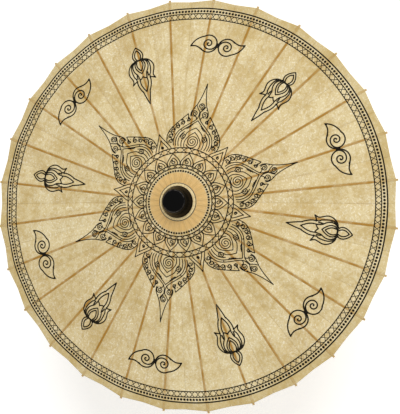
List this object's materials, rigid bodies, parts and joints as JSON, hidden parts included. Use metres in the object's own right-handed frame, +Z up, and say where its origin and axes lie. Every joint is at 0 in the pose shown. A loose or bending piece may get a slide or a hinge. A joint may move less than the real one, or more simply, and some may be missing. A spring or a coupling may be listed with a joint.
{
  "type": "oil paper umbrella",
  "caption": "Open oil paper umbrella with a shallow round paper canopy on bamboo ribs and stretchers, a sliding runner with a spring catch, a dark lacquered cap and a straight turned handle.",
  "frame": {"origin": "foot of the handle, on the shaft's axis", "axes": "+Z up the shaft towards the cap; +X through the catch, midway between two ribs"},
  "size_m": [0.8226, 0.8226, 0.5997],
  "materials": {
    "oiled_paper": "oiled mulberry paper",
    "bamboo": "split bamboo",
    "turned_wood": "smooth turned wood",
    "lacquered_wood": "lacquered wood",
    "spring_steel": "plain"
  },
  "bodies": {
    "shaft_assembly": {"shaft_assembly": "lacquered_wood", "canopy": "oiled_paper"},
    "runner": {"runner": "turned_wood"},
    "catch": {"catch": "spring_steel"},
    "rib_01": {"rib_01": "bamboo"},
    "stretcher_01": {"stretcher_01": "bamboo"},
    "rib_02": {"rib_02": "bamboo"},
    "stretcher_02": {"stretcher_02": "bamboo"},
    "rib_03": {"rib_03": "bamboo"},
    "stretcher_03": {"stretcher_03": "bamboo"},
    "rib_04": {"rib_04": "bamboo"},
    "stretcher_04": {"stretcher_04": "bamboo"},
    "rib_05": {"rib_05": "bamboo"},
    "stretcher_05": {"stretcher_05": "bamboo"},
    "rib_06": {"rib_06": "bamboo"},
    "stretcher_06": {"stretcher_06": "bamboo"},
    "rib_07": {"rib_07": "bamboo"},
    "stretcher_07": {"stretcher_07": "bamboo"},
    "rib_08": {"rib_08": "bamboo"},
    "stretcher_08": {"stretcher_08": "bamboo"},
    "rib_09": {"rib_09": "bamboo"},
    "stretcher_09": {"stretcher_09": "bamboo"},
    "rib_10": {"rib_10": "bamboo"},
    "stretcher_10": {"stretcher_10": "bamboo"},
    "rib_11": {"rib_11": "bamboo"},
    "stretcher_11": {"stretcher_11": "bamboo"},
    "rib_12": {"rib_12": "bamboo"},
    "stretcher_12": {"stretcher_12": "bamboo"},
    "rib_13": {"rib_13": "bamboo"},
    "stretcher_13": {"stretcher_13": "bamboo"},
    "rib_14": {"rib_14": "bamboo"},
    "stretcher_14": {"stretcher_14": "bamboo"},
    "rib_15": {"rib_15": "bamboo"},
    "stretcher_15": {"stretcher_15": "bamboo"},
    "rib_16": {"rib_16": "bamboo"},
    "stretcher_16": {"stretcher_16": "bamboo"},
    "rib_17": {"rib_17": "bamboo"},
    "stretcher_17": {"stretcher_17": "bamboo"},
    "rib_18": {"rib_18": "bamboo"},
    "stretcher_18": {"stretcher_18": "bamboo"},
    "rib_19": {"rib_19": "bamboo"},
    "stretcher_19": {"stretcher_19": "bamboo"},
    "rib_20": {"rib_20": "bamboo"},
    "stretcher_20": {"stretcher_20": "bamboo"},
    "rib_21": {"rib_21": "bamboo"},
    "stretcher_21": {"stretcher_21": "bamboo"},
    "rib_22": {"rib_22": "bamboo"},
    "stretcher_22": {"stretcher_22": "bamboo"},
    "rib_23": {"rib_23": "bamboo"},
    "stretcher_23": {"stretcher_23": "bamboo"},
    "rib_24": {"rib_24": "bamboo"},
    "stretcher_24": {"stretcher_24": "bamboo"},
    "rib_25": {"rib_25": "bamboo"},
    "stretcher_25": {"stretcher_25": "bamboo"},
    "rib_26": {"rib_26": "bamboo"},
    "stretcher_26": {"stretcher_26": "bamboo"},
    "rib_27": {"rib_27": "bamboo"},
    "stretcher_27": {"stretcher_27": "bamboo"},
    "rib_28": {"rib_28": "bamboo"},
    "stretcher_28": {"stretcher_28": "bamboo"}
  },
  "joints": [
    {"name": "runner_slide", "type": "slide", "parent": "shaft_assembly", "child": "runner", "axis": [0, 0, -1], "range_m": [0, 0.23881], "deforming": ["canopy"]},
    {"name": "catch_press", "type": "slide", "parent": "shaft_assembly", "child": "catch", "axis": [-1, 0, 0], "range_m": [0, 0.0028], "stiffness_N_per_m": 400},
    {"name": "rib_01_fold", "type": "hinge", "parent": "shaft_assembly", "child": "rib_01", "pos_m": [0.02286, 0.00258, 0.5675], "axis": [-0.112, 0.9937, 0], "range_deg": [-0.01, 73.01]},
    {"name": "stretcher_01_fold", "type": "hinge", "parent": "rib_01", "child": "stretcher_01", "pos_m": [0.16892, 0.01903, 0.5376], "axis": [-0.112, 0.9937, 0], "range_deg": [-146.01, 0.01]},
    {"name": "rib_02_fold", "type": "hinge", "parent": "shaft_assembly", "child": "rib_02", "pos_m": [0.02171, 0.0076, 0.5675], "axis": [-0.3303, 0.9439, 0], "range_deg": [-0.01, 73.01]},
    {"name": "stretcher_02_fold", "type": "hinge", "parent": "rib_02", "child": "stretcher_02", "pos_m": [0.16045, 0.05614, 0.5376], "axis": [-0.3303, 0.9439, 0], "range_deg": [-146.01, 0.01]},
    {"name": "rib_03_fold", "type": "hinge", "parent": "shaft_assembly", "child": "rib_03", "pos_m": [0.01947, 0.01224, 0.5675], "axis": [-0.532, 0.8467, 0], "range_deg": [-0.01, 73.01]},
    {"name": "stretcher_03_fold", "type": "hinge", "parent": "rib_03", "child": "stretcher_03", "pos_m": [0.14393, 0.09044, 0.5376], "axis": [-0.532, 0.8467, 0], "range_deg": [-146.01, 0.01]},
    {"name": "rib_04_fold", "type": "hinge", "parent": "shaft_assembly", "child": "rib_04", "pos_m": [0.01626, 0.01626, 0.5675], "axis": [-0.7071, 0.7071, 0], "range_deg": [-0.01, 73.01]},
    {"name": "stretcher_04_fold", "type": "hinge", "parent": "rib_04", "child": "stretcher_04", "pos_m": [0.1202, 0.1202, 0.5376], "axis": [-0.7071, 0.7071, 0], "range_deg": [-146.01, 0.01]},
    {"name": "rib_05_fold", "type": "hinge", "parent": "shaft_assembly", "child": "rib_05", "pos_m": [0.01224, 0.01947, 0.5675], "axis": [-0.8467, 0.532, 0], "range_deg": [-0.01, 73.01]},
    {"name": "stretcher_05_fold", "type": "hinge", "parent": "rib_05", "child": "stretcher_05", "pos_m": [0.09044, 0.14393, 0.5376], "axis": [-0.8467, 0.532, 0], "range_deg": [-146.01, 0.01]},
    {"name": "rib_06_fold", "type": "hinge", "parent": "shaft_assembly", "child": "rib_06", "pos_m": [0.0076, 0.02171, 0.5675], "axis": [-0.9439, 0.3303, 0], "range_deg": [-0.01, 73.01]},
    {"name": "stretcher_06_fold", "type": "hinge", "parent": "rib_06", "child": "stretcher_06", "pos_m": [0.05614, 0.16045, 0.5376], "axis": [-0.9439, 0.3303, 0], "range_deg": [-146.01, 0.01]},
    {"name": "rib_07_fold", "type": "hinge", "parent": "shaft_assembly", "child": "rib_07", "pos_m": [0.00258, 0.02286, 0.5675], "axis": [-0.9937, 0.112, 0], "range_deg": [-0.01, 73.01]},
    {"name": "stretcher_07_fold", "type": "hinge", "parent": "rib_07", "child": "stretcher_07", "pos_m": [0.01903, 0.16892, 0.5376], "axis": [-0.9937, 0.112, 0], "range_deg": [-146.01, 0.01]},
    {"name": "rib_08_fold", "type": "hinge", "parent": "shaft_assembly", "child": "rib_08", "pos_m": [-0.00258, 0.02286, 0.5675], "axis": [-0.9937, -0.112, 0], "range_deg": [-0.01, 73.01]},
    {"name": "stretcher_08_fold", "type": "hinge", "parent": "rib_08", "child": "stretcher_08", "pos_m": [-0.01903, 0.16892, 0.5376], "axis": [-0.9937, -0.112, 0], "range_deg": [-146.01, 0.01]},
    {"name": "rib_09_fold", "type": "hinge", "parent": "shaft_assembly", "child": "rib_09", "pos_m": [-0.0076, 0.02171, 0.5675], "axis": [-0.9439, -0.3303, 0], "range_deg": [-0.01, 73.01]},
    {"name": "stretcher_09_fold", "type": "hinge", "parent": "rib_09", "child": "stretcher_09", "pos_m": [-0.05614, 0.16045, 0.5376], "axis": [-0.9439, -0.3303, 0], "range_deg": [-146.01, 0.01]},
    {"name": "rib_10_fold", "type": "hinge", "parent": "shaft_assembly", "child": "rib_10", "pos_m": [-0.01224, 0.01947, 0.5675], "axis": [-0.8467, -0.532, 0], "range_deg": [-0.01, 73.01]},
    {"name": "stretcher_10_fold", "type": "hinge", "parent": "rib_10", "child": "stretcher_10", "pos_m": [-0.09044, 0.14393, 0.5376], "axis": [-0.8467, -0.532, 0], "range_deg": [-146.01, 0.01]},
    {"name": "rib_11_fold", "type": "hinge", "parent": "shaft_assembly", "child": "rib_11", "pos_m": [-0.01626, 0.01626, 0.5675], "axis": [-0.7071, -0.7071, 0], "range_deg": [-0.01, 73.01]},
    {"name": "stretcher_11_fold", "type": "hinge", "parent": "rib_11", "child": "stretcher_11", "pos_m": [-0.1202, 0.1202, 0.5376], "axis": [-0.7071, -0.7071, 0], "range_deg": [-146.01, 0.01]},
    {"name": "rib_12_fold", "type": "hinge", "parent": "shaft_assembly", "child": "rib_12", "pos_m": [-0.01947, 0.01224, 0.5675], "axis": [-0.532, -0.8467, 0], "range_deg": [-0.01, 73.01]},
    {"name": "stretcher_12_fold", "type": "hinge", "parent": "rib_12", "child": "stretcher_12", "pos_m": [-0.14393, 0.09044, 0.5376], "axis": [-0.532, -0.8467, 0], "range_deg": [-146.01, 0.01]},
    {"name": "rib_13_fold", "type": "hinge", "parent": "shaft_assembly", "child": "rib_13", "pos_m": [-0.02171, 0.0076, 0.5675], "axis": [-0.3303, -0.9439, 0], "range_deg": [-0.01, 73.01]},
    {"name": "stretcher_13_fold", "type": "hinge", "parent": "rib_13", "child": "stretcher_13", "pos_m": [-0.16045, 0.05614, 0.5376], "axis": [-0.3303, -0.9439, 0], "range_deg": [-146.01, 0.01]},
    {"name": "rib_14_fold", "type": "hinge", "parent": "shaft_assembly", "child": "rib_14", "pos_m": [-0.02286, 0.00258, 0.5675], "axis": [-0.112, -0.9937, 0], "range_deg": [-0.01, 73.01]},
    {"name": "stretcher_14_fold", "type": "hinge", "parent": "rib_14", "child": "stretcher_14", "pos_m": [-0.16892, 0.01903, 0.5376], "axis": [-0.112, -0.9937, 0], "range_deg": [-146.01, 0.01]},
    {"name": "rib_15_fold", "type": "hinge", "parent": "shaft_assembly", "child": "rib_15", "pos_m": [-0.02286, -0.00258, 0.5675], "axis": [0.112, -0.9937, 0], "range_deg": [-0.01, 73.01]},
    {"name": "stretcher_15_fold", "type": "hinge", "parent": "rib_15", "child": "stretcher_15", "pos_m": [-0.16892, -0.01903, 0.5376], "axis": [0.112, -0.9937, 0], "range_deg": [-146.01, 0.01]},
    {"name": "rib_16_fold", "type": "hinge", "parent": "shaft_assembly", "child": "rib_16", "pos_m": [-0.02171, -0.0076, 0.5675], "axis": [0.3303, -0.9439, 0], "range_deg": [-0.01, 73.01]},
    {"name": "stretcher_16_fold", "type": "hinge", "parent": "rib_16", "child": "stretcher_16", "pos_m": [-0.16045, -0.05614, 0.5376], "axis": [0.3303, -0.9439, 0], "range_deg": [-146.01, 0.01]},
    {"name": "rib_17_fold", "type": "hinge", "parent": "shaft_assembly", "child": "rib_17", "pos_m": [-0.01947, -0.01224, 0.5675], "axis": [0.532, -0.8467, 0], "range_deg": [-0.01, 73.01]},
    {"name": "stretcher_17_fold", "type": "hinge", "parent": "rib_17", "child": "stretcher_17", "pos_m": [-0.14393, -0.09044, 0.5376], "axis": [0.532, -0.8467, 0], "range_deg": [-146.01, 0.01]},
    {"name": "rib_18_fold", "type": "hinge", "parent": "shaft_assembly", "child": "rib_18", "pos_m": [-0.01626, -0.01626, 0.5675], "axis": [0.7071, -0.7071, 0], "range_deg": [-0.01, 73.01]},
    {"name": "stretcher_18_fold", "type": "hinge", "parent": "rib_18", "child": "stretcher_18", "pos_m": [-0.1202, -0.1202, 0.5376], "axis": [0.7071, -0.7071, 0], "range_deg": [-146.01, 0.01]},
    {"name": "rib_19_fold", "type": "hinge", "parent": "shaft_assembly", "child": "rib_19", "pos_m": [-0.01224, -0.01947, 0.5675], "axis": [0.8467, -0.532, 0], "range_deg": [-0.01, 73.01]},
    {"name": "stretcher_19_fold", "type": "hinge", "parent": "rib_19", "child": "stretcher_19", "pos_m": [-0.09044, -0.14393, 0.5376], "axis": [0.8467, -0.532, 0], "range_deg": [-146.01, 0.01]},
    {"name": "rib_20_fold", "type": "hinge", "parent": "shaft_assembly", "child": "rib_20", "pos_m": [-0.0076, -0.02171, 0.5675], "axis": [0.9439, -0.3303, 0], "range_deg": [-0.01, 73.01]},
    {"name": "stretcher_20_fold", "type": "hinge", "parent": "rib_20", "child": "stretcher_20", "pos_m": [-0.05614, -0.16045, 0.5376], "axis": [0.9439, -0.3303, 0], "range_deg": [-146.01, 0.01]},
    {"name": "rib_21_fold", "type": "hinge", "parent": "shaft_assembly", "child": "rib_21", "pos_m": [-0.00258, -0.02286, 0.5675], "axis": [0.9937, -0.112, 0], "range_deg": [-0.01, 73.01]},
    {"name": "stretcher_21_fold", "type": "hinge", "parent": "rib_21", "child": "stretcher_21", "pos_m": [-0.01903, -0.16892, 0.5376], "axis": [0.9937, -0.112, 0], "range_deg": [-146.01, 0.01]},
    {"name": "rib_22_fold", "type": "hinge", "parent": "shaft_assembly", "child": "rib_22", "pos_m": [0.00258, -0.02286, 0.5675], "axis": [0.9937, 0.112, 0], "range_deg": [-0.01, 73.01]},
    {"name": "stretcher_22_fold", "type": "hinge", "parent": "rib_22", "child": "stretcher_22", "pos_m": [0.01903, -0.16892, 0.5376], "axis": [0.9937, 0.112, 0], "range_deg": [-146.01, 0.01]},
    {"name": "rib_23_fold", "type": "hinge", "parent": "shaft_assembly", "child": "rib_23", "pos_m": [0.0076, -0.02171, 0.5675], "axis": [0.9439, 0.3303, 0], "range_deg": [-0.01, 73.01]},
    {"name": "stretcher_23_fold", "type": "hinge", "parent": "rib_23", "child": "stretcher_23", "pos_m": [0.05614, -0.16045, 0.5376], "axis": [0.9439, 0.3303, 0], "range_deg": [-146.01, 0.01]},
    {"name": "rib_24_fold", "type": "hinge", "parent": "shaft_assembly", "child": "rib_24", "pos_m": [0.01224, -0.01947, 0.5675], "axis": [0.8467, 0.532, 0], "range_deg": [-0.01, 73.01]},
    {"name": "stretcher_24_fold", "type": "hinge", "parent": "rib_24", "child": "stretcher_24", "pos_m": [0.09044, -0.14393, 0.5376], "axis": [0.8467, 0.532, 0], "range_deg": [-146.01, 0.01]},
    {"name": "rib_25_fold", "type": "hinge", "parent": "shaft_assembly", "child": "rib_25", "pos_m": [0.01626, -0.01626, 0.5675], "axis": [0.7071, 0.7071, 0], "range_deg": [-0.01, 73.01]},
    {"name": "stretcher_25_fold", "type": "hinge", "parent": "rib_25", "child": "stretcher_25", "pos_m": [0.1202, -0.1202, 0.5376], "axis": [0.7071, 0.7071, 0], "range_deg": [-146.01, 0.01]},
    {"name": "rib_26_fold", "type": "hinge", "parent": "shaft_assembly", "child": "rib_26", "pos_m": [0.01947, -0.01224, 0.5675], "axis": [0.532, 0.8467, 0], "range_deg": [-0.01, 73.01]},
    {"name": "stretcher_26_fold", "type": "hinge", "parent": "rib_26", "child": "stretcher_26", "pos_m": [0.14393, -0.09044, 0.5376], "axis": [0.532, 0.8467, 0], "range_deg": [-146.01, 0.01]},
    {"name": "rib_27_fold", "type": "hinge", "parent": "shaft_assembly", "child": "rib_27", "pos_m": [0.02171, -0.0076, 0.5675], "axis": [0.3303, 0.9439, 0], "range_deg": [-0.01, 73.01]},
    {"name": "stretcher_27_fold", "type": "hinge", "parent": "rib_27", "child": "stretcher_27", "pos_m": [0.16045, -0.05614, 0.5376], "axis": [0.3303, 0.9439, 0], "range_deg": [-146.01, 0.01]},
    {"name": "rib_28_fold", "type": "hinge", "parent": "shaft_assembly", "child": "rib_28", "pos_m": [0.02286, -0.00258, 0.5675], "axis": [0.112, 0.9937, 0], "range_deg": [-0.01, 73.01]},
    {"name": "stretcher_28_fold", "type": "hinge", "parent": "rib_28", "child": "stretcher_28", "pos_m": [0.16892, -0.01903, 0.5376], "axis": [0.112, 0.9937, 0], "range_deg": [-146.01, 0.01]}
  ],
  "couplings": [
    {"joint": "rib_01_fold", "follows": "runner_slide", "rad_per_m": 5.3352},
    {"joint": "stretcher_01_fold", "follows": "runner_slide", "rad_per_m": -10.67},
    {"joint": "rib_02_fold", "follows": "runner_slide", "rad_per_m": 5.3352},
    {"joint": "stretcher_02_fold", "follows": "runner_slide", "rad_per_m": -10.67},
    {"joint": "rib_03_fold", "follows": "runner_slide", "rad_per_m": 5.3352},
    {"joint": "stretcher_03_fold", "follows": "runner_slide", "rad_per_m": -10.67},
    {"joint": "rib_04_fold", "follows": "runner_slide", "rad_per_m": 5.3352},
    {"joint": "stretcher_04_fold", "follows": "runner_slide", "rad_per_m": -10.67},
    {"joint": "rib_05_fold", "follows": "runner_slide", "rad_per_m": 5.3352},
    {"joint": "stretcher_05_fold", "follows": "runner_slide", "rad_per_m": -10.67},
    {"joint": "rib_06_fold", "follows": "runner_slide", "rad_per_m": 5.3352},
    {"joint": "stretcher_06_fold", "follows": "runner_slide", "rad_per_m": -10.67},
    {"joint": "rib_07_fold", "follows": "runner_slide", "rad_per_m": 5.3352},
    {"joint": "stretcher_07_fold", "follows": "runner_slide", "rad_per_m": -10.67},
    {"joint": "rib_08_fold", "follows": "runner_slide", "rad_per_m": 5.3352},
    {"joint": "stretcher_08_fold", "follows": "runner_slide", "rad_per_m": -10.67},
    {"joint": "rib_09_fold", "follows": "runner_slide", "rad_per_m": 5.3352},
    {"joint": "stretcher_09_fold", "follows": "runner_slide", "rad_per_m": -10.67},
    {"joint": "rib_10_fold", "follows": "runner_slide", "rad_per_m": 5.3352},
    {"joint": "stretcher_10_fold", "follows": "runner_slide", "rad_per_m": -10.67},
    {"joint": "rib_11_fold", "follows": "runner_slide", "rad_per_m": 5.3352},
    {"joint": "stretcher_11_fold", "follows": "runner_slide", "rad_per_m": -10.67},
    {"joint": "rib_12_fold", "follows": "runner_slide", "rad_per_m": 5.3352},
    {"joint": "stretcher_12_fold", "follows": "runner_slide", "rad_per_m": -10.67},
    {"joint": "rib_13_fold", "follows": "runner_slide", "rad_per_m": 5.3352},
    {"joint": "stretcher_13_fold", "follows": "runner_slide", "rad_per_m": -10.67},
    {"joint": "rib_14_fold", "follows": "runner_slide", "rad_per_m": 5.3352},
    {"joint": "stretcher_14_fold", "follows": "runner_slide", "rad_per_m": -10.67},
    {"joint": "rib_15_fold", "follows": "runner_slide", "rad_per_m": 5.3352},
    {"joint": "stretcher_15_fold", "follows": "runner_slide", "rad_per_m": -10.67},
    {"joint": "rib_16_fold", "follows": "runner_slide", "rad_per_m": 5.3352},
    {"joint": "stretcher_16_fold", "follows": "runner_slide", "rad_per_m": -10.67},
    {"joint": "rib_17_fold", "follows": "runner_slide", "rad_per_m": 5.3352},
    {"joint": "stretcher_17_fold", "follows": "runner_slide", "rad_per_m": -10.67},
    {"joint": "rib_18_fold", "follows": "runner_slide", "rad_per_m": 5.3352},
    {"joint": "stretcher_18_fold", "follows": "runner_slide", "rad_per_m": -10.67},
    {"joint": "rib_19_fold", "follows": "runner_slide", "rad_per_m": 5.3352},
    {"joint": "stretcher_19_fold", "follows": "runner_slide", "rad_per_m": -10.67},
    {"joint": "rib_20_fold", "follows": "runner_slide", "rad_per_m": 5.3352},
    {"joint": "stretcher_20_fold", "follows": "runner_slide", "rad_per_m": -10.67},
    {"joint": "rib_21_fold", "follows": "runner_slide", "rad_per_m": 5.3352},
    {"joint": "stretcher_21_fold", "follows": "runner_slide", "rad_per_m": -10.67},
    {"joint": "rib_22_fold", "follows": "runner_slide", "rad_per_m": 5.3352},
    {"joint": "stretcher_22_fold", "follows": "runner_slide", "rad_per_m": -10.67},
    {"joint": "rib_23_fold", "follows": "runner_slide", "rad_per_m": 5.3352},
    {"joint": "stretcher_23_fold", "follows": "runner_slide", "rad_per_m": -10.67},
    {"joint": "rib_24_fold", "follows": "runner_slide", "rad_per_m": 5.3352},
    {"joint": "stretcher_24_fold", "follows": "runner_slide", "rad_per_m": -10.67},
    {"joint": "rib_25_fold", "follows": "runner_slide", "rad_per_m": 5.3352},
    {"joint": "stretcher_25_fold", "follows": "runner_slide", "rad_per_m": -10.67},
    {"joint": "rib_26_fold", "follows": "runner_slide", "rad_per_m": 5.3352},
    {"joint": "stretcher_26_fold", "follows": "runner_slide", "rad_per_m": -10.67},
    {"joint": "rib_27_fold", "follows": "runner_slide", "rad_per_m": 5.3352},
    {"joint": "stretcher_27_fold", "follows": "runner_slide", "rad_per_m": -10.67},
    {"joint": "rib_28_fold", "follows": "runner_slide", "rad_per_m": 5.3352},
    {"joint": "stretcher_28_fold", "follows": "runner_slide", "rad_per_m": -10.67}
  ]
}
